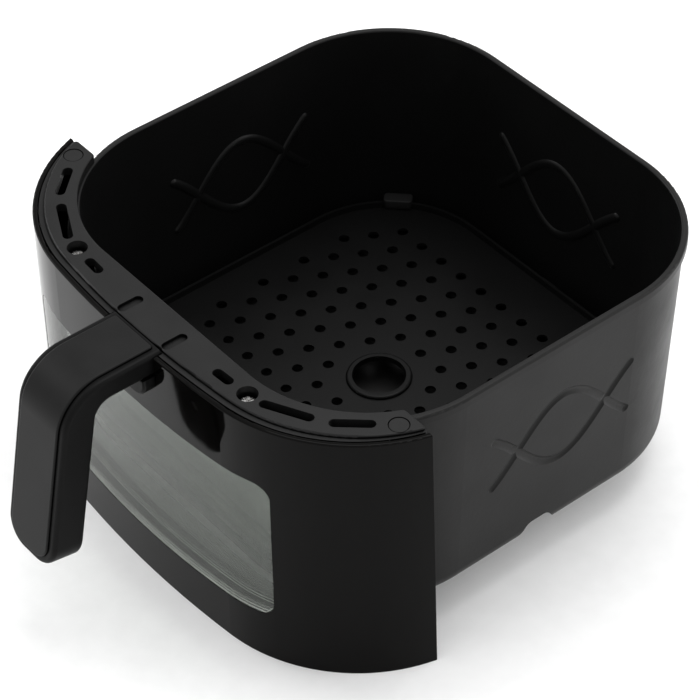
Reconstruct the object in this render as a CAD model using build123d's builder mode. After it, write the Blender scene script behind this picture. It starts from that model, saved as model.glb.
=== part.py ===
from build123d import *
import os
from math import atan2, cos, degrees, hypot, pi, radians, sin, tan

# Drawer of an air fryer: a tapered pan behind a bowed front housing with a double window,
# a lift-out crisper plate and a drop handle.
# Millimetres, +Z up, -Y towards the user. The origin is at the bottom centre of the whole drawer.

os.makedirs("parts", exist_ok=True)

# ---- driving dimensions -------------------------------------------------------------------
pan_y = 42.11  # the pan's centre lies this far behind the origin
rim_z = 138.7  # top of the pan's rolled rim
base_z = 19.7  # underside of the pan

rim_x = 120.0  # half width over the rim
rim_y = 117.6  # half depth over the rim
rim_r = 67.4  # plan corner radius over the rim
rim_tall = 4.4
rim_overhang = 1.35  # the rim stands this far outside the wall
wall = 2.0
pan_taper = 1.87  # degrees from upright
base_radius = 9.0

front_y = -140.3  # outer face of the front shell at its middle, from the pan's centre
bow_radius = 549.5  # middle stretch of the front shell
bow_angle = 6.2
turn_radius = 82.85  # stretch that turns round the pan's front corners
turn_angle = 69.5
shell_top_z = 142.2
shell_wall = 2.6
floor_thick = 2.6

trim_top_z = 143.3
trim_under_z = 139.0
trim_border = 0.35  # the lower band along the trim's outer edge narrows to this at its ends
trim_step_back = 2.3  # and is this much wider at the middle
seam = 0.35

window_x = 84.0  # half width of the opening in the front shell
window_low_z = 25.4
window_high_z = 109.0
window_bow = 2.4  # both long edges rise this much towards the ends
window_r = 8.0

sight_x = 76.0  # half width of the opening in the pan's front wall
sight_low_z = 38.0
sight_high_z = 98.0

handle_width = 34.8
handle_top_z = 143.3
handle_root_y = -135.3
handle_bend_y = -164.1
handle_bend_radius = 24.0
handle_lean = 10.5  # degrees that the grip leans outwards
grip_length = 76.0
grip_depth = 16.5
plate_thick = 11.1
inner_bend_radius = 9.0
grip_corner = 13.0
cover_border = 3.7
cover_thick = 3.0
cover_proud = 1.15  # the cover stands this far above its border

strap_width = 20.0
strap_thick = 2.5
strap_depth = handle_top_z - 136.6  # top of the steel strap, down from the handle's top face

plate_thick_sheet = 1.6
plate_lip = 5.0
plate_gap = 4.5

screw_x = 61.6  # trim screws
screw_y = -123.2
plug_x = 116.6
plug_y = -86.5
end_y = -79.3  # the front housing's top ends here, beside the pan
end_low_y = -75.4  # and its bottom ends here

slope = tan(radians(pan_taper))
wall_x = rim_x - rim_overhang
wall_y = rim_y - rim_overhang
wall_r = rim_r - rim_overhang

side = Plane(origin=(0, pan_y, 0), x_dir=(0, 1, 0), z_dir=(1, 0, 0))
facing = Plane(origin=(0, pan_y, 0), x_dir=(1, 0, 0), z_dir=(0, -1, 0))


def level(z):
    """Horizontal plane at height z with its origin over the pan's centre."""
    return Plane(origin=(0, pan_y, z))


def save(builder, label):
    """Label a finished piece and write it."""
    builder.part.label = label
    export_step(builder.part, f"parts/{label}.step")


# ---- shared shapes ------------------------------------------------------------------------
def pan_form(grow, floor_z=base_z, top_z=rim_z):
    """Tapered solid parallel to the outside of the pan's wall, grown by the given amount."""
    with BuildPart() as form:
        for z in (top_z, floor_z):
            reach = grow - (rim_z - z) * slope
            with BuildSketch(level(z)):
                RectangleRounded(2 * (wall_x + reach), 2 * (wall_y + reach), wall_r + reach)
        loft(ruled=True)
    return form.part


def rim_block(grow, low_z, high_z):
    """Upright block with the rim's plan outline, grown by the given amount."""
    with BuildPart() as block:
        with BuildSketch(level(low_z)):
            RectangleRounded(2 * (rim_x + grow), 2 * (rim_y + grow), rim_r + grow)
        extrude(amount=high_z - low_z)
    return block.part


def front_outline(outer, inner):
    """Plan outline of a layer of the bowed front, between two depths behind its outer face."""
    with BuildSketch() as outline:
        with BuildLine():
            near = JernArc((0, front_y + outer), (1, 0), bow_radius - outer, bow_angle)
            near_turn = JernArc(near @ 1, near % 1, turn_radius - outer, turn_angle)
            far = JernArc((0, front_y + inner), (1, 0), bow_radius - inner, bow_angle)
            far_turn = JernArc(far @ 1, far % 1, turn_radius - inner, turn_angle)
            Line(near @ 0, far @ 0)
            Line(near_turn @ 1, far_turn @ 1)
        make_face()
        mirror(about=Plane.YZ)
    return outline.sketch


def front_layer(outer, inner, low_z, high_z):
    """Upright layer of the bowed front."""
    with BuildPart() as layer:
        with BuildSketch(level(low_z)):
            add(front_outline(outer, inner))
        extrude(amount=high_z - low_z)
    return layer.part


def window_prism(grow, front_reach=160, back_reach=60):
    """Prism through the front housing with the front window's shape, grown by the given amount."""
    with BuildPart() as prism:
        with BuildSketch(facing.offset(back_reach)):
            half = window_x + grow
            low = window_low_z - grow
            high = window_high_z + grow
            with BuildLine():
                ThreePointArc((-half, low + window_bow), (0, low), (half, low + window_bow))
                Line((half, low + window_bow), (half, high))
                ThreePointArc((half, high), (0, high - window_bow), (-half, high))
                Line((-half, high), (-half, low + window_bow))
            corners = make_face()
            fillet(corners.vertices(), window_r + max(grow, 0) / 2)
        extrude(amount=front_reach - back_reach)
    return prism.part


def sight_prism(grow):
    """Prism through the pan's front wall with the inner window's shape, grown by an amount."""
    mid_z = (sight_low_z + sight_high_z) / 2
    tall = sight_high_z - sight_low_z + 2 * grow
    with BuildPart() as prism:
        with BuildSketch(facing.offset(60)):
            with Locations((0, mid_z)):
                RectangleRounded(2 * (sight_x + grow), tall, 8 + grow)
        extrude(amount=80)
    return prism.part


# ---- pan ------------------------------------------------------------------------------------
bead_z = rim_z - 54.5  # centre of the pressed crossing beads on the side and back walls
bead_y = 8.0
bead_reach = 40.3
bead_half_wave = 52.6
bead_swing = 19.7
bead_radius = 2.9
bead_bite = 1.1

ledge_foot = 13.5  # half length of a pressed ledge's dent at the pan's underside
ledge_crown = 6.0  # and at its top
ledge_y = -2.0
ledge_tall = 10.7
ledge_deep = 17.0


def bead_tubes(depth):
    """Tubes of the crossing beads on three walls, centred outside the given depth in the wall."""
    lift = bead_radius - bead_bite - depth
    out = (rim_z - bead_z) * slope
    walls = [
        ((wall_x - out, pan_y + bead_y, bead_z), (0, 1, 0), (1, 0, -slope)),
        ((-wall_x + out, pan_y + bead_y, bead_z), (0, -1, 0), (-1, 0, -slope)),
        ((0, pan_y + wall_y - out, bead_z), (-1, 0, 0), (0, 1, -slope)),
    ]
    tubes = []
    for centre, along, outward in walls:
        sheet = Plane(origin=centre, x_dir=along, z_dir=outward)
        for flip in (-1, 1):
            # the two tubes of a pair lie at slightly different depths, so that they cross cleanly
            height = lift + 0.06 * flip
            stations = [bead_reach * i / 6 for i in range(-6, 7)]
            points = [(s, flip * bead_swing * cos(pi * s / bead_half_wave)) for s in stations]
            with BuildPart() as tube:
                with BuildLine(sheet.offset(height)) as run:
                    Spline(*points)
                with BuildSketch(Plane(origin=run.line @ 0, z_dir=run.line % 0)):
                    Circle(bead_radius)
                sweep(path=run.line)
                with Locations(run.line @ 0, run.line @ 1):
                    Sphere(bead_radius)
            tubes.append(tube.part)
    return tubes


def ledge_blocks(grow):
    """Sloping blocks for the four pressed ledges along the pan's bottom edge, grown by an amount."""
    inset = (rim_z - base_z) * slope
    deep = ledge_deep + grow
    top_z = base_z + ledge_tall + grow
    foot = ledge_foot + grow * 1.2
    crown = ledge_crown + grow * 0.5
    blocks = []
    for turn, reach, shift in (
        (0, wall_y - inset, 0),
        (90, wall_x - inset, ledge_y),
        (180, wall_y - inset, 0),
        (270, wall_x - inset, -ledge_y),
    ):
        away = (sin(radians(turn)), -cos(radians(turn)), 0)
        across = (cos(radians(turn)), sin(radians(turn)), 0)
        outside = Plane(origin=(0, pan_y, 0), x_dir=across, z_dir=away).offset(reach - deep)
        with BuildPart() as block:
            with BuildSketch(outside):
                with BuildLine():
                    Polyline(
                        (shift - foot, base_z - 5), (shift - foot, base_z), (shift - crown, top_z),
                        (shift + crown, top_z), (shift + foot, base_z), (shift + foot, base_z - 5),
                        close=True,
                    )
                dent = make_face()
                fillet(dent.vertices().group_by(Axis.Y)[-1], 5 + grow)
            extrude(amount=deep + 5)
        blocks.append(block.part)
    return blocks


with BuildPart() as pan_void:
    add(pan_form(-wall, base_z + wall, rim_z + 1))
    fillet(pan_void.faces().sort_by(Axis.Z)[0].edges(), base_radius - wall)
    for block in ledge_blocks(wall):
        add(block, mode=Mode.SUBTRACT)
    for bead in bead_tubes(wall):
        add(bead, mode=Mode.SUBTRACT)

with BuildPart() as pan:
    add(pan_form(0))
    fillet(pan.faces().sort_by(Axis.Z)[0].edges(), base_radius)
    with BuildSketch(level(rim_z - rim_tall)):
        RectangleRounded(2 * rim_x, 2 * rim_y, rim_r)
    extrude(amount=rim_tall)
    rim_edges = pan.faces().sort_by(Axis.Z)[-1].edges()
    fillet(rim_edges, 1.3)
    for block in ledge_blocks(0):
        add(block, mode=Mode.SUBTRACT)
    for bead in bead_tubes(0):
        add(bead, mode=Mode.SUBTRACT)
    add(pan_void.part, mode=Mode.SUBTRACT)
    fillet(pan.edges().group_by(Axis.Z)[-1], 0.9)
    add(sight_prism(0), mode=Mode.SUBTRACT)
save(pan, "pan")


# ---- crisper plate, which lifts out -----------------------------------------------------------
plate_z = base_z + ledge_tall + wall + 0.3  # the plate lies on the ledges
void_inset = wall + (rim_z - plate_z) * slope
plate_x = wall_x - void_inset - plate_gap
plate_y = wall_y - void_inset - plate_gap
plate_r = wall_r - void_inset - plate_gap
vent_pitch = 15.0
vent_r = 2.7
finger_r = 13.0


def plate_ring(grow, tall):
    """The plate's turned-up lip, grown by the given amount on both faces."""
    with BuildPart() as ring:
        with BuildSketch(level(plate_z - grow)):
            RectangleRounded(2 * (plate_x + grow), 2 * (plate_y + grow), plate_r + grow)
            inner = plate_thick_sheet + grow
            RectangleRounded(
                2 * (plate_x - inner), 2 * (plate_y - inner), plate_r - inner, mode=Mode.SUBTRACT
            )
        extrude(amount=tall + 2 * grow)
    return ring.part


vents = []
for row in range(-6, 7):
    for column in range(-6, 7):
        spot = ((column + (row % 2) / 2) * vent_pitch, row * vent_pitch * 0.87)
        inside = abs(spot[0]) < plate_x - 14 and abs(spot[1]) < plate_y - 14
        clear_corner = hypot(max(abs(spot[0]) - 52, 0), max(abs(spot[1]) - 50, 0)) < plate_r - 13
        clear_middle = hypot(spot[0], spot[1]) > finger_r + 7
        if inside and clear_corner and clear_middle:
            vents.append(spot)

with BuildPart() as crisper_plate:
    with BuildSketch(level(plate_z)):
        RectangleRounded(2 * plate_x, 2 * plate_y, plate_r)
    extrude(amount=plate_thick_sheet)
    add(plate_ring(0, plate_lip))
    with BuildSketch(level(plate_z)):
        Circle(finger_r + 3)
    extrude(amount=3.2)
    fillet(crisper_plate.edges().filter_by(GeomType.CIRCLE).group_by(Axis.Z)[-2], 1.2)
    with BuildSketch(level(plate_z - 1)):
        Circle(finger_r)
        with Locations(*vents):
            Circle(vent_r)
    extrude(amount=6, mode=Mode.SUBTRACT)
save(crisper_plate, "crisper_plate")

bumper_span = plate_r * sin(pi / 4)
for name, sx, sy in (
    ("front_left", -1, -1),
    ("front_right", 1, -1),
    ("rear_left", -1, 1),
    ("rear_right", 1, 1),
):
    middle_x = sx * (plate_x - plate_r + bumper_span)
    middle_y = pan_y + sy * (plate_y - plate_r + bumper_span)
    outward = Plane(origin=(middle_x, middle_y, plate_z + 2.4), x_dir=(-sy, sx, 0), z_dir=(0, 0, 1))
    with BuildPart() as bumper:
        with BuildSketch(outward):
            RectangleRounded(15, 7.2, 2.2)
        extrude(amount=plate_lip)
        fillet(bumper.edges().group_by(Axis.Z)[-1], 0.8)
        add(plate_ring(0.04, plate_lip), mode=Mode.SUBTRACT)
    save(bumper, f"plate_bumper_{name}")


# ---- front shell ------------------------------------------------------------------------------
def behind_ends(gap):
    """Wedge behind the slanted ends of the front housing, moved forwards by the given gap."""
    with BuildPart() as wedge:
        with BuildSketch(side):
            with BuildLine():
                Polyline(
                    (end_low_y - gap, 0), (end_y - gap, shell_top_z), (end_y - gap, 150),
                    (0, 150), (0, -5), (end_low_y - gap, -5), close=True,
                )
            make_face()
        extrude(amount=160, both=True)
    return wedge.part


boss_spots = [(sx * 58, z) for sx in (-1, 1) for z in (window_low_z - 8.6, window_high_z + 7.2)]
boss_r = 3.2
floor_screw_spots = [(-70, -122.3), (0, -127.5), (70, -122.3)]
handle_notch = handle_width / 2 + 0.25
handle_under_z = handle_top_z - plate_thick

pane_front = shell_wall + 0.82
pane_back = pane_front + 3.0

with BuildPart() as frame_bosses:
    with BuildSketch(facing.offset(126)):
        with Locations(*boss_spots):
            Circle(boss_r)
    extrude(amount=9.5)
    add(front_layer(pane_back + 0.02, 24, 0, rim_z), mode=Mode.SUBTRACT)

with BuildPart() as front_shell:
    add(front_layer(0, shell_wall, 0, shell_top_z))
    fillet(front_shell.faces().sort_by(Axis.Z)[-1].edges(), 0.8)
    add(front_layer(shell_wall / 2, 16, 0, floor_thick))
    with BuildSketch(level(0)):
        with Locations(*floor_screw_spots):
            Circle(5.5)
    extrude(amount=6)
    add(frame_bosses.part)
    add(rim_block(3.4, -1, rim_z), mode=Mode.SUBTRACT)
    add(window_prism(0), mode=Mode.SUBTRACT)
    add(behind_ends(0), mode=Mode.SUBTRACT)
    with BuildSketch(facing.offset(120)):
        with Locations((0, handle_under_z - 0.25 + 20)):
            Rectangle(2 * handle_notch, 40)
    extrude(amount=40, mode=Mode.SUBTRACT)
    with BuildSketch(level(-1)):
        with Locations(*floor_screw_spots):
            Circle(3.4)
    extrude(amount=4, mode=Mode.SUBTRACT)
    with BuildSketch(level(2)):
        with Locations(*floor_screw_spots):
            Circle(1.9)
    extrude(amount=6, mode=Mode.SUBTRACT)
    with BuildSketch(facing.offset(125)):
        with Locations(*boss_spots):
            Circle(1.3)
    extrude(amount=9.4, mode=Mode.SUBTRACT)
save(front_shell, "front_shell")

# ---- double window: outer pane in the shell, inner pane on the pan ------------------------------
pane_edge = 3.8

with BuildPart() as outer_window_gasket:
    add(front_layer(shell_wall + 0.02, shell_wall + 0.8, 5, 134))
    add(window_prism(pane_edge), mode=Mode.INTERSECT)
    add(window_prism(0.6), mode=Mode.SUBTRACT)
save(outer_window_gasket, "outer_window_gasket")

with BuildPart() as window_face:
    add(front_layer(0.12, pane_back, 5, 134))
    add(window_prism(-0.25), mode=Mode.INTERSECT)

with BuildPart() as outer_window:
    add(front_layer(pane_front, pane_back, 5, 134))
    add(window_prism(pane_edge), mode=Mode.INTERSECT)
    add(window_face.part)
save(outer_window, "outer_window")

frame_back = pane_back + 2.2
with BuildPart() as outer_window_frame:
    add(front_layer(pane_back + 0.05, frame_back, 5, 134))
    add(window_prism(12), mode=Mode.INTERSECT)
    add(window_prism(-1.5), mode=Mode.SUBTRACT)
    with BuildSketch(facing.offset(110)):
        with Locations(*boss_spots):
            Circle(1.7)
    extrude(amount=30, mode=Mode.SUBTRACT)
save(outer_window_frame, "outer_window_frame")

head_y = front_y + 3.1 + frame_back + 0.5  # the frame's back face at the screws, with its bow
with BuildPart() as window_screws:
    with BuildSketch(facing.offset(-head_y - 1.6)):
        with Locations(*boss_spots):
            Circle(2.9)
    extrude(amount=1.6)
    fillet(window_screws.edges().group_by(Axis.Y)[-1], 0.6)
    with BuildSketch(facing.offset(-head_y)):
        with Locations(*boss_spots):
            Circle(1.2)
    extrude(amount=6)
save(window_screws, "window_screws")


def pan_layer(outer, inner):
    """Layer outside the pan's wall, between two distances from it."""
    with BuildPart() as layer:
        add(pan_form(outer, base_z + 2, rim_z - rim_tall - 1))
        add(pan_form(inner, base_z, rim_z - rim_tall), mode=Mode.SUBTRACT)
    return layer.part


with BuildPart() as inner_window_seal:
    add(pan_layer(0.8, 0.03))
    add(sight_prism(4.4), mode=Mode.INTERSECT)
    add(sight_prism(0.6), mode=Mode.SUBTRACT)
save(inner_window_seal, "inner_window_seal")

with BuildPart() as inner_window:
    add(pan_layer(4.3, 0.83))
    add(sight_prism(4.0), mode=Mode.INTERSECT)
save(inner_window, "inner_window")

with BuildPart() as pane_room:
    add(pan_form(4.35, base_z, rim_z - rim_tall))
    add(sight_prism(4.6), mode=Mode.INTERSECT)

with BuildPart() as inner_window_frame:
    add(pan_layer(5.6, 0.03))
    add(sight_prism(7.5), mode=Mode.INTERSECT)
    add(pane_room.part, mode=Mode.SUBTRACT)
    add(sight_prism(-1.5), mode=Mode.SUBTRACT)
save(inner_window_frame, "inner_window_frame")

# ---- inner cover: closes the back of the front housing -----------------------------------------
cover_low_z = floor_thick + 0.3
cover_high_z = 125.4
cover_grow = 3.2
cover_room = 1.2
lug_top_z = 14.0

with BuildPart() as sleeve_and_lugs:
    add(window_prism(2.5))
    add(window_prism(0.5), mode=Mode.SUBTRACT)
    for spot_x, spot_y in floor_screw_spots:
        with BuildSketch(level(6.1)):
            with Locations((spot_x, spot_y + 2)):
                Rectangle(10, 14)
        extrude(amount=lug_top_z - 6.1)
    add(front_layer(frame_back + 0.2, 50, 0, 130), mode=Mode.INTERSECT)

with BuildPart() as inner_cover:
    add(rim_block(cover_grow, cover_low_z, cover_high_z))
    with BuildSketch(level(cover_low_z)):
        for turn in (-1, 1):
            with Locations((turn * 124, end_y - 2.6)):
                Rectangle(32, 2.2)
    extrude(amount=cover_high_z - cover_low_z)
    add(front_layer(shell_wall + 0.25, 50, 0, 130), mode=Mode.INTERSECT)
    add(window_prism(0.5), mode=Mode.SUBTRACT)
    add(sleeve_and_lugs.part)
    add(rim_block(cover_room, 0, 130), mode=Mode.SUBTRACT)
    with BuildSketch(level(0)):
        with Locations(*floor_screw_spots):
            Circle(1.3)
    extrude(amount=lug_top_z - 1, mode=Mode.SUBTRACT)
save(inner_cover, "inner_cover")

with BuildPart() as shell_screws:
    with BuildSketch(level(0.6)):
        with Locations(*floor_screw_spots):
            Circle(3.1)
    extrude(amount=2.2)
    with BuildSketch(level(0.6)):
        with Locations(*floor_screw_spots):
            Circle(1.25)
    extrude(amount=12)
    with BuildSketch(level(0.5)):
        with Locations(*floor_screw_spots):
            Rectangle(3.6, 0.8)
            Rectangle(0.8, 3.6)
    extrude(amount=1.3, mode=Mode.SUBTRACT)
save(shell_screws, "shell_screws")

# ---- steel brackets welded to the pan's front wall ---------------------------------------------
tab_top_z = 127.6
tab_thick = 1.6
handle_tab_z = 133.9  # top of the middle bracket, where the handle's strap lies
weld = 0.03


def wall_bracket(middle_x, half_width, low_z, high_z, thick, front_edge_y):
    """Angle bracket: a leg that follows the pan's wall and a level tab that stands out from it."""
    with BuildPart() as region:
        with BuildSketch(level(low_z)):
            with Locations((middle_x, -115)):
                Rectangle(2 * half_width, 60)
        extrude(amount=high_z - low_z)
    with BuildPart() as bracket:
        add(pan_form(thick + weld, base_z, high_z + 1))
        add(region.part, mode=Mode.INTERSECT)
        with BuildSketch(level(high_z - thick)):
            with Locations((middle_x, (front_edge_y - 100) / 2)):
                RectangleRounded(2 * half_width, -100 - front_edge_y, 3)
        extrude(amount=thick)
        add(pan_form(weld, base_z - 1, high_z + 2), mode=Mode.SUBTRACT)
    return bracket.part


for name, turn in (("left", -1), ("right", 1)):
    with BuildPart() as pan_bracket:
        add(wall_bracket(turn * screw_x, 8, 111, tab_top_z, tab_thick, -129.5))
        with BuildSketch(level(120)):
            with Locations((turn * screw_x, screw_y)):
                Circle(1.9)
        extrude(amount=12, mode=Mode.SUBTRACT)
    save(pan_bracket, f"pan_bracket_{name}")

strap_screw_spots = [(-6, -127.5), (6, -127.5)]
with BuildPart() as handle_bracket:
    add(wall_bracket(0, 15, 113, handle_tab_z, 2.0, -134))
    with BuildSketch(level(120)):
        with Locations(*strap_screw_spots):
            Circle(1.95)
    extrude(amount=20, mode=Mode.SUBTRACT)
save(handle_bracket, "handle_bracket")

# ---- handle ------------------------------------------------------------------------------------
lean = radians(handle_lean)
down_grip = Vector(-sin(lean), -cos(lean))
through_grip = Vector(cos(lean), -sin(lean))


def grip_point(along, depth):
    """Side-view point this far down the grip and this deep under its front face."""
    bend_end = Vector(
        handle_bend_y - handle_bend_radius * cos(lean),
        handle_top_z - handle_bend_radius * (1 - sin(lean)),
    )
    return bend_end + down_grip * along + through_grip * depth


def grip_place(x, along, depth):
    """The same point in space."""
    spot = grip_point(along, depth)
    return Vector(x, pan_y + spot.X, spot.Y)


def grip_back(along, depth):
    """Plane across the grip at this depth, facing the pan."""
    return Plane(origin=grip_place(0, along, depth), x_dir=(1, 0, 0),
                 z_dir=(0, through_grip.X, through_grip.Y))


def on_outer_face(edge, depth):
    """Whether an edge of a handle layer lies on its outer face, this deep under the surface."""
    spot = edge.center(CenterOf.GEOMETRY)
    y = spot.Y - pan_y
    turn_y = handle_bend_y
    turn_z = handle_top_z - handle_bend_radius
    if y > turn_y:
        found = handle_top_z - spot.Z
    elif spot.Z > grip_point(0, 0).Y:
        found = handle_bend_radius - hypot(y - turn_y, spot.Z - turn_z)
    else:
        found = (Vector(y, spot.Z) - grip_point(0, 0)).dot(through_grip)
    return abs(found - depth) < 0.4


def handle_layer(outer, inner, half_width, start_y, length, corner, root_corner):
    """Layer that follows the handle between two depths, with rounded ends."""
    with BuildPart() as layer:
        with BuildSketch(side):
            with BuildLine():
                for depth in (outer, inner):
                    top_z = handle_top_z - depth
                    top = Line((start_y, top_z), (handle_bend_y, top_z))
                    bend = JernArc(top @ 1, (-1, 0), handle_bend_radius - depth, 90 - handle_lean)
                    Line(bend @ 1, grip_point(length, depth))
                Line((start_y, handle_top_z - outer), (start_y, handle_top_z - inner))
                Line(grip_point(length, outer), grip_point(length, inner))
            make_face()
        extrude(amount=half_width, both=True)
        middle = (outer + inner) / 2
        for turn in (-1, 1):
            end = grip_place(turn * half_width, length, middle)
            fillet(layer.edges().sort_by_distance(end)[0], corner)
            root = Vector(turn * half_width, pan_y + start_y, handle_top_z - middle)
            fillet(layer.edges().sort_by_distance(root)[0], root_corner)
    return layer.part


pocket_half = handle_width / 2 - cover_border
grip_screw_spots = (16.0, 47.0)
cover_length = grip_length - cover_border
collar_tall = 12.0

with BuildPart() as collar:
    with BuildSketch(facing.offset(133)):
        with Locations((0, handle_under_z + 0.2 - collar_tall / 2)):
            plate = Rectangle(handle_width + 1.6, collar_tall)
        fillet(plate.vertices().group_by(Axis.Y)[0], 9.1)
    extrude(amount=13)
    fillet(collar.faces().sort_by(Axis.Y)[0].edges(), 1.5)
    add(front_layer(-0.12, 20, 100, 140), mode=Mode.SUBTRACT)

with BuildPart() as handle_body:
    with BuildSketch(side):
        with BuildLine():
            top = Line((handle_root_y, handle_top_z), (handle_bend_y, handle_top_z))
            bend = JernArc(top @ 1, (-1, 0), handle_bend_radius, 90 - handle_lean)
            front = Line(bend @ 1, grip_point(grip_length, 0))
            foot = Line(front @ 1, grip_point(grip_length, grip_depth))
            rise = (handle_under_z - (foot @ 1).Y) / cos(lean)
            inner_corner = foot @ 1 - down_grip * rise
            back = Line(foot @ 1, inner_corner)
            under = Line(back @ 1, (handle_root_y, handle_under_z))
            Line(under @ 1, top @ 0)
        outline = make_face()
        fillet(outline.vertices().sort_by_distance(inner_corner)[0], inner_bend_radius)
    extrude(amount=handle_width / 2, both=True)
    for turn in (-1, 1):
        end = grip_place(turn * handle_width / 2, grip_length, grip_depth / 2)
        fillet(handle_body.edges().sort_by_distance(end)[0], grip_corner)
    long_edges = handle_body.faces().sort_by(Axis.X)[-1].edges()
    long_edges += handle_body.faces().sort_by(Axis.X)[0].edges()
    outer_edges = [e for e in long_edges if e.center().Y < pan_y + handle_root_y - 1]
    fillet(outer_edges, 2.2)
    add(collar.part)
    add(handle_layer(-2, cover_thick + 0.25, pocket_half, handle_root_y - 1.4, cover_length,
                     grip_corner - cover_border, 1.4), mode=Mode.SUBTRACT)
    add(handle_layer(cover_thick, strap_depth + strap_thick + 0.1, strap_width / 2 + 0.3,
                     handle_root_y + 2, grip_length - 14, 5, 0.5), mode=Mode.SUBTRACT)
    for along in grip_screw_spots:
        with BuildSketch(grip_back(along, grip_depth - 3.1)):
            Circle(3.3)
        extrude(amount=5, mode=Mode.SUBTRACT)
        with BuildSketch(grip_back(along, strap_depth)):
            Circle(1.6)
        extrude(amount=10, mode=Mode.SUBTRACT)
save(handle_body, "handle_body")

with BuildPart() as handle_cover:
    add(handle_layer(-cover_proud, cover_thick, pocket_half - 0.25, handle_root_y - 1.65,
                     cover_length - 0.25, grip_corner - cover_border - 0.25, 1.2))
    rims = handle_cover.faces().sort_by(Axis.X)[-1].edges()
    rims += handle_cover.faces().sort_by(Axis.X)[0].edges()
    shown = [e for e in rims if on_outer_face(e, -cover_proud)]
    fillet(shown, 0.8)
save(handle_cover, "handle_cover")

with BuildPart() as handle_strap:
    add(handle_layer(strap_depth, strap_depth + strap_thick, strap_width / 2, -121.0,
                     grip_length - 15, 4, 1))
    with BuildSketch(level(120)):
        with Locations(*strap_screw_spots):
            Circle(2.0)
    extrude(amount=20, mode=Mode.SUBTRACT)
    for along in grip_screw_spots:
        with BuildSketch(grip_back(along, strap_depth)):
            Circle(1.6)
        extrude(amount=strap_thick, mode=Mode.SUBTRACT)
save(handle_strap, "handle_strap")

with BuildPart() as grip_screws:
    for along in grip_screw_spots:
        with BuildSketch(grip_back(along, grip_depth - 3.0)):
            Circle(3.0)
        extrude(amount=2.2)
        with BuildSketch(grip_back(along, strap_depth - 1.5)):
            Circle(1.5)
        extrude(amount=grip_depth - 3.0 - strap_depth + 1.5)
        with BuildSketch(grip_back(along, grip_depth - 2.0)):
            Rectangle(3.4, 0.8)
            Rectangle(0.8, 3.4)
        extrude(amount=2, mode=Mode.SUBTRACT)
save(grip_screws, "grip_screws")

with BuildPart() as strap_screws:
    with BuildSketch(level(handle_top_z - strap_depth)):
        with Locations(*strap_screw_spots):
            Circle(3.2)
    extrude(amount=1.9)
    fillet(strap_screws.edges().group_by(Axis.Z)[-1], 0.5)
    with BuildSketch(level(128)):
        with Locations(*strap_screw_spots):
            Circle(1.9)
    extrude(amount=handle_top_z - strap_depth - 128)
save(strap_screws, "strap_screws")

# ---- top trim: bridges the gap between the front shell and the pan's rim ---------------------------
trim_edge = shell_wall + seam
vent_width = 4.8
vent_runs = [
    ((43.4, -124.9), (50.1, -124.5)),
    ((71.1, -121.6), (89.3, -112.4)),
    ((98.6, -106.5), (108.7, -95.2)),
]
blind_x = 16.0
blind_run = (-131.3, -123.2)
blind_deep = 1.4
boss_low_z = tab_top_z + 0.1
seat_z = 136.4
well_r = 4.75
boss_wall = 2.0
plug_r = 4.5
plug_thick = 1.3


def slot_run(start, end):
    """Round-ended slot whose end centres lie at two points."""
    middle = ((start[0] + end[0]) / 2, (start[1] + end[1]) / 2)
    turn = atan2(end[1] - start[1], end[0] - start[0])
    length = hypot(end[0] - start[0], end[1] - start[1])
    with Locations(Location((middle[0], middle[1], 0), (0, 0, degrees(turn)))):
        SlotCenterToCenter(length, vent_width)


def trim_outline(edge, back=0):
    """Plan outline of the trim: its edge lies this deep behind the shell's face, moved back."""
    with BuildSketch() as outline:
        with Locations((0, back)):
            add(front_outline(edge, 36))
        with Locations((0, end_y + 0.6 + 50)):
            Rectangle(300, 100, mode=Mode.SUBTRACT)
        RectangleRounded(2 * (rim_x - 2.6), 2 * (rim_y - 2.6), rim_r - 2.6, mode=Mode.SUBTRACT)
        fillet(outline.vertices().group_by(Axis.Y)[-1], 1.6)
    return outline.sketch


with BuildPart() as top_trim:
    with BuildSketch(level(trim_under_z)):
        add(trim_outline(trim_edge))
    extrude(amount=shell_top_z - trim_under_z - 0.2)
    with BuildSketch(level(trim_under_z)):
        add(trim_outline(trim_edge + trim_border, trim_step_back))
    extrude(amount=trim_top_z - trim_under_z)
    fillet(top_trim.faces().sort_by(Axis.Z)[-1].edges(), 0.8)
    with BuildSketch(level(boss_low_z)):
        with Locations((-screw_x, screw_y), (screw_x, screw_y)):
            Circle(well_r + boss_wall)
    extrude(amount=trim_under_z - boss_low_z + 0.5)
    add(rim_block(0.4, 120, rim_z + 0.3), mode=Mode.SUBTRACT)
    with BuildSketch(level(seat_z)):
        with Locations((-screw_x, screw_y), (screw_x, screw_y)):
            Circle(well_r)
    extrude(amount=12, mode=Mode.SUBTRACT)
    with BuildSketch(level(120)):
        with Locations((-screw_x, screw_y), (screw_x, screw_y)):
            Circle(2.2)
        for turn in (-1, 1):
            for start, end in vent_runs:
                slot_run((turn * start[0], start[1]), (turn * end[0], end[1]))
    extrude(amount=30, mode=Mode.SUBTRACT)
    with BuildSketch(level(trim_top_z - blind_deep)):
        for turn in (-1, 1):
            slot_run((turn * blind_x, blind_run[0]), (turn * blind_x, blind_run[1]))
    extrude(amount=5, mode=Mode.SUBTRACT)
    with BuildSketch(level(trim_top_z - plug_thick - 0.1)):
        with Locations((-plug_x, plug_y), (plug_x, plug_y)):
            Circle(plug_r + 0.25)
    extrude(amount=5, mode=Mode.SUBTRACT)
    with BuildSketch(level(trim_under_z - 2)):
        with Locations((0, handle_root_y - 10)):
            Rectangle(handle_width + 0.5, 20.5)
    extrude(amount=10, mode=Mode.SUBTRACT)
save(top_trim, "top_trim")

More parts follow.
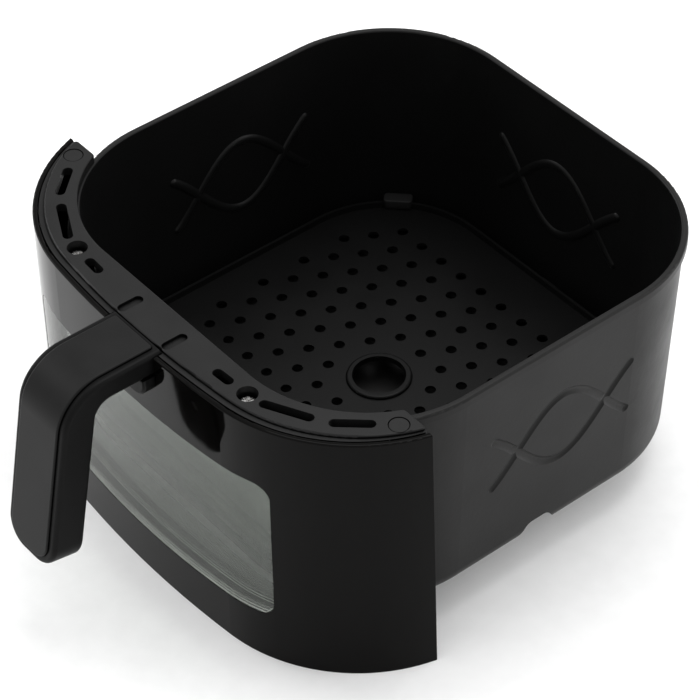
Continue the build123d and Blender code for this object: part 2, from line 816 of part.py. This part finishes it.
for name, turn in (("left", -1), ("right", 1)):
    with BuildPart() as plug:
        with BuildSketch(level(trim_top_z - plug_thick)):
            with Locations((turn * plug_x, plug_y)):
                Circle(plug_r)
        extrude(amount=plug_thick - 0.15)
        fillet(plug.edges().group_by(Axis.Z)[-1], 0.4)
    save(plug, f"trim_plug_{name}")

with BuildPart() as trim_screws:
    for turn in (-1, 1):
        with BuildSketch(level(seat_z)):
            with Locations((turn * screw_x, screw_y)):
                Circle(3.9)
        extrude(amount=2.6)
    fillet(trim_screws.edges().group_by(Axis.Z)[-1], 1.2)
    for turn in (-1, 1):
        with BuildSketch(level(121)):
            with Locations((turn * screw_x, screw_y)):
                Circle(1.85)
        extrude(amount=seat_z - 121)
        with BuildSketch(level(seat_z + 1.0)):
            with Locations((turn * screw_x, screw_y)):
                Rectangle(4.8, 1.1)
                Rectangle(1.1, 4.8)
        extrude(amount=3, mode=Mode.SUBTRACT)
save(trim_screws, "trim_screws")
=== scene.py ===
from math import cos, radians, sin

import bpy
from mathutils import Matrix, Vector


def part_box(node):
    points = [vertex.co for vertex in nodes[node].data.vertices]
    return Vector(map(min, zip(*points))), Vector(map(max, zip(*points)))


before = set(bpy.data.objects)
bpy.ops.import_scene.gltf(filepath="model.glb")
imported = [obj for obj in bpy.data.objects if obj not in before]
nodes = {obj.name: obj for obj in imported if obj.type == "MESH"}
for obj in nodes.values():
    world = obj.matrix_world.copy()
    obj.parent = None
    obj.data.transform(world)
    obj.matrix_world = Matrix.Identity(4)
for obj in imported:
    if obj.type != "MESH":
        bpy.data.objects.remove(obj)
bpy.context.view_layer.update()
scene = bpy.context.scene

MM = 0.001
MICRON = 0.001 * MM
pan_low, pan_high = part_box("pan")
pan_middle = (pan_low + pan_high) / 2

# ---- camera ---------------------------------------------------------------------------------
VIEW_AZIMUTH = 51.01  # degrees round from the front towards +X
VIEW_HEIGHT = 42.63  # degrees above the horizon
VIEW_ROLL = 0.69  # degrees
VIEW_DISTANCE = 1.1815  # metres from the aim
VIEW_LENS = 141.8  # mm
SENSOR_WIDTH = 36  # mm
CLIP_RANGE = (0.05, 30)
AIM_OFFSET = Vector((64.45, -69.93, 0)) * MM  # from the middle of the pan's rim
aim = Vector((0, pan_middle.y, pan_high.z)) + AIM_OFFSET


def make_camera():
    """Camera that looks down on the drawer's right front corner."""
    turn, lift, roll = radians(VIEW_AZIMUTH), radians(VIEW_HEIGHT), radians(VIEW_ROLL)
    back = Vector((sin(turn) * cos(lift), -cos(turn) * cos(lift), sin(lift)))
    level_right = Vector((cos(turn), sin(turn), 0))
    level_up = back.cross(level_right)
    right = level_right * cos(roll) - level_up * sin(roll)
    up = level_right * sin(roll) + level_up * cos(roll)
    data = bpy.data.cameras.new("camera")
    data.sensor_width = SENSOR_WIDTH
    data.lens = VIEW_LENS
    data.clip_start, data.clip_end = CLIP_RANGE
    camera = bpy.data.objects.new("camera", data)
    scene.collection.objects.link(camera)
    place = Matrix((right, up, back)).transposed().to_4x4()
    place.translation = aim + back * VIEW_DISTANCE
    camera.matrix_world = place
    scene.camera = camera


make_camera()


# ---- node helpers ---------------------------------------------------------------------------
def new_material(name):
    """Material with its node tree and its Principled shader."""
    material = bpy.data.materials.new(name)
    material.use_nodes = True
    tree = material.node_tree
    return material, tree, tree.nodes["Principled BSDF"]


def add_node(tree, kind, links=None, **values):
    """Node of a kind, with attributes or unlinked inputs set, and inputs linked from sockets."""
    node = tree.nodes.new(kind)
    for key, value in values.items():
        if hasattr(node, key):
            setattr(node, key, value)
        else:
            node.inputs[key.replace("_", " ")].default_value = value
    for key, source in (links or {}).items():
        tree.links.new(source, node.inputs[key])
    return node


def place_of(tree):
    """Position on the piece, in metres."""
    return add_node(tree, "ShaderNodeTexCoord").outputs["Object"]


def noise(tree, scale, detail=3.0, roughness=0.55, vector=None, distortion=0.0):
    """Noise factor at a scale in cells per metre."""
    node = add_node(
        tree, "ShaderNodeTexNoise", {"Vector": vector or place_of(tree)},
        Scale=scale, Detail=detail, Roughness=roughness, Distortion=distortion,
    )
    return node.outputs["Fac"]


def remap(tree, source, low, high, start=0.3, end=0.7):
    """Value that goes from low to high while the source goes from start to end."""
    node = add_node(tree, "ShaderNodeMapRange", {"Value": source})
    node.inputs["From Min"].default_value = start
    node.inputs["From Max"].default_value = end
    node.inputs["To Min"].default_value = low
    node.inputs["To Max"].default_value = high
    return node.outputs["Result"]


def blend_colour(tree, factor, first, second):
    """Colour between two, each a tuple or a socket."""
    node = add_node(tree, "ShaderNodeMix", data_type="RGBA")
    tree.links.new(factor, node.inputs["Factor"])
    for socket, value in ((node.inputs[6], first), (node.inputs[7], second)):
        if isinstance(value, tuple):
            socket.default_value = (*value, 1)
        else:
            tree.links.new(value, socket)
    return node.outputs[2]


def bump(tree, shader, layers):
    """Bump from several heights: each layer is a source and its height in metres."""
    normal = None
    for source, height in layers:
        node = add_node(tree, "ShaderNodeBump", {"Height": source}, Strength=1.0)
        node.inputs["Distance"].default_value = height
        if normal:
            tree.links.new(normal, node.inputs["Normal"])
        normal = node.outputs["Normal"]
    tree.links.new(normal, shader.inputs["Normal"])


# Painted shade in seams, slots and corners, found by ambient occlusion.
PAINTED_SHADE_REACH = 3.5 * MM
PAINTED_SHADE_SAMPLES = 6
PAINTED_SHADE_OPENNESS = (0.55, 0.94)  # from deep in a seam to its lips


def painted_crevice_shade(tree, low, high):
    """Painted shade: a value that falls from high to low deep in corners, slots and seams, found
    by ambient occlusion.
    """
    node = add_node(
        tree, "ShaderNodeAmbientOcclusion", samples=PAINTED_SHADE_SAMPLES, Distance=PAINTED_SHADE_REACH
    )
    return remap(tree, node.outputs["AO"], low, high, *PAINTED_SHADE_OPENNESS)


def grey(value, warm=0.0):
    """Grey colour, a little warm or cool."""
    return (value * (1 + warm), value, value * (1 - warm))


# ---- materials ------------------------------------------------------------------------------
PLASTIC_IOR = 1.46
COATING_IOR = 1.42
COATING_ROUGHNESS = 0.38
CLEAR_IOR = 1.0  # the gloss coat does the reflecting
GRAZING_POWER = 5.2  # how late a gloss coat turns into a mirror towards grazing angles
# Painted shade deep in seams: the colour there and the share of shine that is left.
PAINTED_SHADE_GREY = 0.001
PAINTED_SHADE_SHINE = 0.15  # share of a plastic's shine that is left deep in a seam
SHELL_REFLECTION = 0.0085  # seen straight on
GLASS_REFLECTION = 0.035


def moulded_plastic(name, dark, light, rough, grain, depth, shine):
    """Moulded plastic with a fine spark-eroded grain, faint rubbed patches and painted shade deep
    in seams and slots.

    The grain has that many cells per metre and is that deep in microns.
    """
    material, tree, shader = new_material(name)
    patches = noise(tree, 38, 4)
    fine = noise(tree, grain, 2, 0.6)
    tone = blend_colour(tree, remap(tree, patches, 0, 1), grey(dark), grey(light))
    # Painted shade: the colour darkens towards near-black deep in seams and slots.
    tone_with_painted_shade = blend_colour(tree, painted_crevice_shade(tree, 0, 1), grey(PAINTED_SHADE_GREY), tone)
    tree.links.new(tone_with_painted_shade, shader.inputs["Base Color"])
    tree.links.new(remap(tree, patches, rough - 0.05, rough + 0.06), shader.inputs["Roughness"])
    shader.inputs["IOR"].default_value = PLASTIC_IOR
    # Painted shade: the shine fades deep in seams and slots.
    shine_with_painted_shade = painted_crevice_shade(tree, PAINTED_SHADE_SHINE * shine, shine)
    tree.links.new(shine_with_painted_shade, shader.inputs["Specular IOR Level"])
    bump(tree, shader, [(fine, depth * MICRON), (noise(tree, 9, 2), 3 * depth * MICRON)])
    return material


def gloss_coat(tree, under, rough, least):
    """Clear reflection over a shader that grows from its least amount towards grazing angles."""
    gloss = add_node(tree, "ShaderNodeBsdfGlossy", {"Roughness": rough})
    side_on = add_node(tree, "ShaderNodeLayerWeight", Blend=0.5).outputs["Facing"]
    steep = add_node(tree, "ShaderNodeMath", {0: side_on}, operation="POWER")
    steep.inputs[1].default_value = GRAZING_POWER
    amount = add_node(tree, "ShaderNodeMath", {0: steep.outputs[0]}, operation="ADD")
    amount.inputs[1].default_value = least
    amount.use_clamp = True
    coat = add_node(tree, "ShaderNodeMixShader", {"Fac": amount.outputs[0]})
    tree.links.new(under, coat.inputs[1])
    tree.links.new(gloss.outputs["BSDF"], coat.inputs[2])
    tree.links.new(coat.outputs["Shader"], tree.nodes["Material Output"].inputs["Surface"])
    return gloss


def polished_plastic(name):
    """Polished black plastic with hairline scratches, faint wiping marks and moulding waves."""
    material, tree, shader = new_material(name)
    here = place_of(tree)
    wipe = add_node(tree, "ShaderNodeMapping", {"Vector": here}, Scale=(60, 60, 9))
    smears = noise(tree, 1.0, 5, 0.62, wipe.outputs["Vector"], 0.6)
    streak = add_node(tree, "ShaderNodeMapping", {"Vector": here}, Scale=(900, 900, 30))
    scratches = noise(tree, 1.0, 2, 0.5, streak.outputs["Vector"])
    tone = blend_colour(tree, remap(tree, smears, 0, 1), grey(0.0005, 0.15), grey(0.0012, 0.15))
    tree.links.new(tone, shader.inputs["Base Color"])
    shader.inputs["Specular IOR Level"].default_value = 0.0
    shader.inputs["Roughness"].default_value = 0.5
    rough = remap(tree, smears, 0.045, 0.10, 0.35, 0.75)
    gloss = gloss_coat(tree, shader.outputs["BSDF"], rough, SHELL_REFLECTION)
    waves = noise(tree, 14, 1)
    bump(tree, gloss, [(waves, 120 * MICRON), (scratches, 2 * MICRON)])
    return material


def coated_steel(name, outside, inside, shine):
    """Non-stick coating with orange peel and a fine speckle.

    The outside and inside are each a darker and a lighter colour, and shine is (inside, outside);
    an inside darker than the outside is painted shade.
    """
    material, tree, shader = new_material(name)
    coords = add_node(tree, "ShaderNodeTexCoord")
    here = coords.outputs["Object"]
    offset = add_node(tree, "ShaderNodeVectorMath", {0: here}, operation="SUBTRACT")
    offset.inputs[1].default_value = (pan_middle.x, pan_middle.y, 0)
    flat = add_node(tree, "ShaderNodeVectorMath", {0: offset.outputs[0]}, operation="MULTIPLY")
    flat.inputs[1].default_value = (10, 10, 0)  # about one at the walls, and level
    facing = add_node(
        tree, "ShaderNodeVectorMath", {0: flat.outputs[0], 1: coords.outputs["Normal"]},
        operation="DOT_PRODUCT",
    )
    # Painted shade: where the surface faces the pan's axis it takes the inside's darker colours
    # and a little less shine.
    outer = remap(tree, facing.outputs["Value"], 0, 1, -0.35, -0.05)
    speckle = noise(tree, 2600, 2, 0.7, here)
    cloud = noise(tree, 24, 4, 0.6, here)
    sides = []
    for dark, light in (inside, outside):
        sides.append(blend_colour(tree, remap(tree, speckle, 0, 1), dark, light))
    tone = blend_colour(tree, outer, *sides)
    tree.links.new(tone, shader.inputs["Base Color"])
    rough = remap(tree, cloud, COATING_ROUGHNESS - 0.05, COATING_ROUGHNESS + 0.07)
    tree.links.new(rough, shader.inputs["Roughness"])
    shader.inputs["IOR"].default_value = COATING_IOR
    shine_with_painted_shade = remap(tree, outer, shine[0], shine[1], 0, 1)
    tree.links.new(shine_with_painted_shade, shader.inputs["Specular IOR Level"])
    peel = noise(tree, 420, 2, 0.5, here)
    bump(tree, shader, [(peel, 30 * MICRON), (speckle, 8 * MICRON)])
    return material


GLASS_FLANGE = 4.0 * MM  # hidden edge of the pane, behind the shell
GLASS_BOW = 2.4 * MM  # rise of the pane's lower edge from its middle to its ends
# Band of painted reflection lines along the pane's lower edge.
EDGE_BAND = 9 * MM
# Height in the band, and how pale the painted reflection is there.
EDGE_REFLECTION_LINES = (
    (0.08, 0.0), (0.13, 0.9), (0.19, 0.03), (0.29, 0.03), (0.34, 0.6),
    (0.39, 0.03), (0.48, 0.0), (0.55, 0.25), (0.64, 0.0),
)


def painted_edge_reflections(tree):
    """Broken pale lines along the curved lower edge of the pane, painted reflections of its edges.
    """
    here = place_of(tree)
    axes = add_node(tree, "ShaderNodeSeparateXYZ", {"Vector": here})
    glass_low, glass_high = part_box("outer_window")
    edge_z = glass_low.z + GLASS_FLANGE
    half_width = glass_high.x - GLASS_FLANGE
    square = add_node(
        tree, "ShaderNodeMath", {0: axes.outputs["X"], 1: axes.outputs["X"]}, operation="MULTIPLY"
    )
    rise = add_node(tree, "ShaderNodeMath", {0: square.outputs[0]}, operation="MULTIPLY")
    rise.inputs[1].default_value = GLASS_BOW / half_width**2
    above = add_node(
        tree, "ShaderNodeMath", {0: axes.outputs["Z"], 1: rise.outputs[0]}, operation="SUBTRACT"
    )
    band = remap(tree, above.outputs[0], 0, 1, edge_z, edge_z + EDGE_BAND)
    ramp = add_node(tree, "ShaderNodeValToRGB", {"Fac": band})
    stops = ramp.color_ramp.elements
    stops[0].color = (0, 0, 0, 1)
    stops[1].color = (0, 0, 0, 1)
    for position, pale in EDGE_REFLECTION_LINES:
        stops.new(position).color = (pale, pale, pale, 1)
    long = add_node(tree, "ShaderNodeMapping", {"Vector": here}, Scale=(22, 22, 700))
    broken = remap(tree, noise(tree, 1.0, 3, 0.6, long.outputs["Vector"]), 0.6, 1.25, 0.35, 0.6)
    lines = add_node(
        tree, "ShaderNodeMath", {0: ramp.outputs["Color"], 1: broken}, operation="MULTIPLY"
    )
    return lines.outputs[0]


FILM_COLOUR = (0.42, 0.45, 0.41)


def window_glass(name, tint, haze, with_edge_reflections=False):
    """Tinted tempered glass with a thin wiped film."""
    material, tree, shader = new_material(name)
    film = noise(tree, 30, 5, 0.6)
    shader.inputs["IOR"].default_value = CLEAR_IOR
    shader.inputs["Transmission Weight"].default_value = 1.0
    tone = blend_colour(tree, remap(tree, film, 0, 1), tint, tuple(0.93 * c for c in tint))
    tree.links.new(tone, shader.inputs["Base Color"])
    tree.links.new(remap(tree, film, 0.02, 0.06), shader.inputs["Roughness"])
    mist = add_node(tree, "ShaderNodeBsdfDiffuse", Color=(*FILM_COLOUR, 1))
    mix = add_node(tree, "ShaderNodeMixShader")
    veil = remap(tree, film, haze * 0.94, haze * 1.06)
    # Painted reflections: pale lines along the pane's lower edge, added to the film.
    if with_edge_reflections:
        terms = {0: veil, 1: painted_edge_reflections(tree)}
        veil = add_node(tree, "ShaderNodeMath", terms, operation="ADD", use_clamp=True).outputs[0]
    tree.links.new(veil, mix.inputs["Fac"])
    tree.links.new(shader.outputs["BSDF"], mix.inputs[1])
    tree.links.new(mist.outputs["BSDF"], mix.inputs[2])
    gloss_coat(tree, mix.outputs["Shader"], remap(tree, film, 0.02, 0.06), GLASS_REFLECTION)
    return material


def steel(name, tone, rough, grain_scale):
    """Bright sheet steel with a drawn grain."""
    material, tree, shader = new_material(name)
    drawn = add_node(tree, "ShaderNodeMapping", {"Vector": place_of(tree)}, Scale=grain_scale)
    lines = noise(tree, 1.0, 4, 0.6, drawn.outputs["Vector"])
    shader.inputs["Metallic"].default_value = 1.0
    colour = blend_colour(tree, remap(tree, lines, 0, 1), grey(tone * 0.82), grey(tone, 0.02))
    tree.links.new(colour, shader.inputs["Base Color"])
    tree.links.new(remap(tree, lines, rough - 0.06, rough + 0.1), shader.inputs["Roughness"])
    bump(tree, shader, [(lines, 12 * MICRON)])
    return material


# Name, darker and lighter grey, roughness, grain in cells per metre and in microns, shine.
PLASTICS = {
    "top_trim": ("satin_trim", 0.0065, 0.0100, 0.38, 1500, 20, 0.16),
    "handle_body": ("satin_handle", 0.0015, 0.0032, 0.42, 1500, 20, 0.09),
    "handle_cover": ("satin_cover", 0.0045, 0.0075, 0.38, 1800, 12, 0.12),
    "inner_cover": ("liner", 0.006, 0.010, 0.55, 700, 30, 0.15),
    "outer_window_gasket": ("silicone", 0.008, 0.012, 0.62, 900, 20, 0.15),
}
materials = {name: moulded_plastic(*values) for name, values in PLASTICS.items()}
materials["pan"] = coated_steel(
    "pan_coat",
    outside=(grey(0.0050, 0.02), grey(0.0085, 0.02)),
    # Painted shade: the inside is darker than the outside.
    inside=(grey(0.0022), grey(0.0044)),
    shine=(0.18, 0.19),
)
plate_greys = (grey(0.0025), grey(0.005))
materials["crisper_plate"] = coated_steel("plate_coat", plate_greys, plate_greys, (0.15, 0.15))
materials["front_shell"] = polished_plastic("gloss_shell")
# The front pane carries painted reflection lines along its lower edge.
materials["outer_window"] = window_glass("front_glass", (0.72, 0.76, 0.72), 0.085, with_edge_reflections=True)
materials["inner_window"] = window_glass("inner_glass", (0.80, 0.84, 0.80), 0.04)
sheet_steel = steel("sheet_steel", 0.55, 0.34, (40, 900, 900))
screw_steel = steel("screw_steel", 0.78, 0.22, (700, 700, 60))
for name in nodes:
    if name.startswith("plate_bumper") or name == "inner_window_seal":
        materials[name] = materials["outer_window_gasket"]
    elif name.endswith("_screws"):
        materials[name] = screw_steel
    elif name.startswith("trim_plug"):
        materials[name] = materials["top_trim"]
    elif name in ("outer_window_frame", "inner_window_frame"):
        materials[name] = materials["inner_cover"]
    elif name not in materials:
        materials[name] = sheet_steel

for name, piece in nodes.items():
    piece.data.materials.clear()
    piece.data.materials.append(materials[name])


# ---- studio ---------------------------------------------------------------------------------
def make_floor():
    """Pale matt floor with a barely visible paper texture."""
    bpy.ops.mesh.primitive_plane_add(size=8)
    floor = bpy.context.object
    floor.name = "studio_floor"
    material, tree, shader = new_material("paper")
    paper = noise(tree, 90, 3)
    tone = blend_colour(tree, remap(tree, paper, 0, 1), grey(0.90), grey(0.93))
    tree.links.new(tone, shader.inputs["Base Color"])
    shader.inputs["Roughness"].default_value = 0.9
    shader.inputs["Specular IOR Level"].default_value = 0.1
    floor.data.materials.append(material)


LIGHT_TARGET = Vector((0, 0, 80)) * MM


def make_light(name, spot, size, power):
    """Square soft light that faces the drawer."""
    data = bpy.data.lights.new(name, "AREA")
    data.size = size
    data.energy = power
    lamp = bpy.data.objects.new(name, data)
    scene.collection.objects.link(lamp)
    lamp.location = spot
    toward = LIGHT_TARGET - Vector(spot)
    lamp.rotation_euler = toward.to_track_quat("-Z", "Y").to_euler()


make_floor()
world = bpy.data.worlds.new("studio")
world.use_nodes = True
sky = world.node_tree.nodes["Background"]
sky.inputs["Color"].default_value = (1, 1, 1, 1)
sky.inputs["Strength"].default_value = 1.0
scene.world = world
scene.view_settings.view_transform = "Standard"
make_light("overhead", (-0.2, 0.5, 1.9), 1.4, 18)
make_light("left", (-1.7, -0.6, 1.0), 1.2, 14)
make_light("right_back", (1.3, 1.5, 0.9), 1.0, 10)
